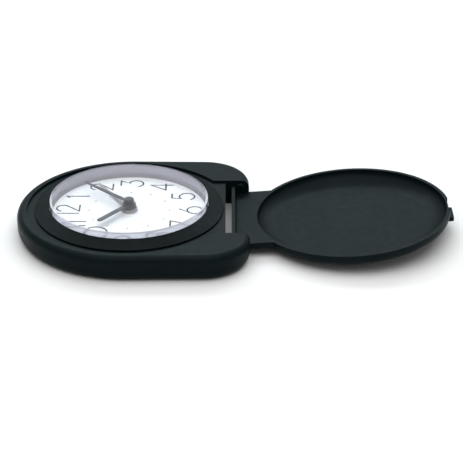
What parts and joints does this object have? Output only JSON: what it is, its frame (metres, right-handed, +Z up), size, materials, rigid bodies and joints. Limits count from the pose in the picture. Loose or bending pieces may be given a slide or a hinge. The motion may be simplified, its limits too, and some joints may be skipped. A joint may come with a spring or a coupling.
{
  "type": "folding travel alarm clock",
  "caption": "Round battery travel alarm clock with raised clear crystal; its dish-shaped lid folds over the dial, lies flat beside it, or swings behind as a stand.",
  "frame": {"origin": "on the flat base under the dial's centre", "axes": "+Z up out of the dial, +X from the dial towards the hinge and lid, 12 o'clock towards -X, 3 o'clock towards +Y"},
  "size_m": [0.156, 0.08, 0.0128],
  "materials": {
    "case_plastic": "fine matt spark texture",
    "steel": "plain",
    "bezel_plastic": "satin",
    "clear_acrylic": "polished",
    "dial_white": "matt printed card",
    "lid_plastic": "fine matt spark texture",
    "hand_grey": "satin paint",
    "alarm_hand_paint": "satin paint",
    "movement_plastic": "satin",
    "wheel_plastic": "smooth moulded",
    "ferrite": "sintered magnet",
    "knob_plastic": "satin fluted",
    "soft_iron": "stamped",
    "copper_wire": "enamelled wire",
    "spring_brass": "stamped strip",
    "board_green": "solder resist",
    "chip_epoxy": "epoxy blob",
    "cell_steel": "bright",
    "buzzer_brass": "plain with white ceramic",
    "foam": "soft foam"
  },
  "bodies": {
    "case": {"front_case": "case_plastic", "back_cover": "case_plastic", "case_screws": "steel", "bezel_ring": "bezel_plastic", "crystal": "clear_acrylic", "dial": "dial_white", "hinge_pins": "steel", "friction_washers": "steel", "movement_tray": "movement_plastic", "movement_lid": "movement_plastic", "stator": "soft_iron", "coil_bobbin": "movement_plastic", "coil_winding": "copper_wire", "alarm_contact": "spring_brass", "circuit_board": "board_green", "chip": "chip_epoxy", "quartz_can": "steel", "button_cell": "cell_steel", "positive_contact": "spring_brass", "negative_contact": "spring_brass", "buzzer": "buzzer_brass", "buzzer_seat": "foam", "buzzer_springs": "spring_brass", "switch_contacts": "spring_brass"},
    "lid": {"lid": "lid_plastic"},
    "minute_work": {"minute_hand": "hand_grey", "centre_wheel": "wheel_plastic"},
    "hour_work": {"hour_hand": "hand_grey", "hour_wheel": "wheel_plastic"},
    "alarm_work": {"alarm_hand": "alarm_hand_paint", "alarm_wheel": "wheel_plastic"},
    "time_setting": {"time_wheel": "wheel_plastic", "time_knob": "knob_plastic"},
    "alarm_setting": {"alarm_pinion": "wheel_plastic", "alarm_knob": "knob_plastic"},
    "reduction": {"reduction_wheel": "wheel_plastic"},
    "rotor_work": {"rotor": "ferrite"},
    "battery_cap_body": {"battery_cap": "knob_plastic"},
    "alarm_slide": {"alarm_switch": "knob_plastic"}
  },
  "joints": [
    {"name": "lid_hinge", "type": "hinge", "parent": "case", "child": "lid", "pos_m": [0.03975, 0, 0.0066], "axis": [0, 1, 0], "range_deg": [-175.8, 104]},
    {"name": "minute_spin", "type": "hinge", "parent": "case", "child": "minute_work", "pos_m": [0, 0, 0], "axis": [0, 0, -1], "continuous": true},
    {"name": "hour_spin", "type": "hinge", "parent": "case", "child": "hour_work", "pos_m": [0, 0, 0], "axis": [0, 0, -1], "continuous": true},
    {"name": "time_knob_spin", "type": "hinge", "parent": "case", "child": "time_setting", "pos_m": [0, -0.0072, 0], "axis": [0, 0, -1], "continuous": true},
    {"name": "reduction_spin", "type": "hinge", "parent": "case", "child": "reduction", "pos_m": [-0.00648, 0, 0], "axis": [0, 0, -1], "continuous": true},
    {"name": "rotor_spin", "type": "hinge", "parent": "case", "child": "rotor_work", "pos_m": [-0.0126, 0, 0], "axis": [0, 0, -1], "continuous": true},
    {"name": "alarm_spin", "type": "hinge", "parent": "case", "child": "alarm_work", "pos_m": [0, 0, 0], "axis": [0, 0, -1], "continuous": true},
    {"name": "alarm_knob_spin", "type": "hinge", "parent": "case", "child": "alarm_setting", "pos_m": [0, 0.0081, 0], "axis": [0, 0, -1], "continuous": true},
    {"name": "battery_cap_turn", "type": "hinge", "parent": "case", "child": "battery_cap_body", "pos_m": [0.0175, -0.012, 0], "axis": [0, 0, -1], "range_deg": [0, 45]},
    {"name": "alarm_switch_slide", "type": "slide", "parent": "case", "child": "alarm_slide", "axis": [1, 0, 0], "range_m": [0, 0.003]}
  ],
  "couplings": [
    {"joint": "hour_spin", "follows": "minute_spin", "ratio": 0.083333},
    {"joint": "time_knob_spin", "follows": "minute_spin", "ratio": -0.33333},
    {"joint": "reduction_spin", "follows": "minute_spin", "ratio": -8},
    {"joint": "rotor_spin", "follows": "minute_spin", "ratio": 60},
    {"joint": "alarm_knob_spin", "follows": "alarm_spin", "ratio": -2}
  ]
}
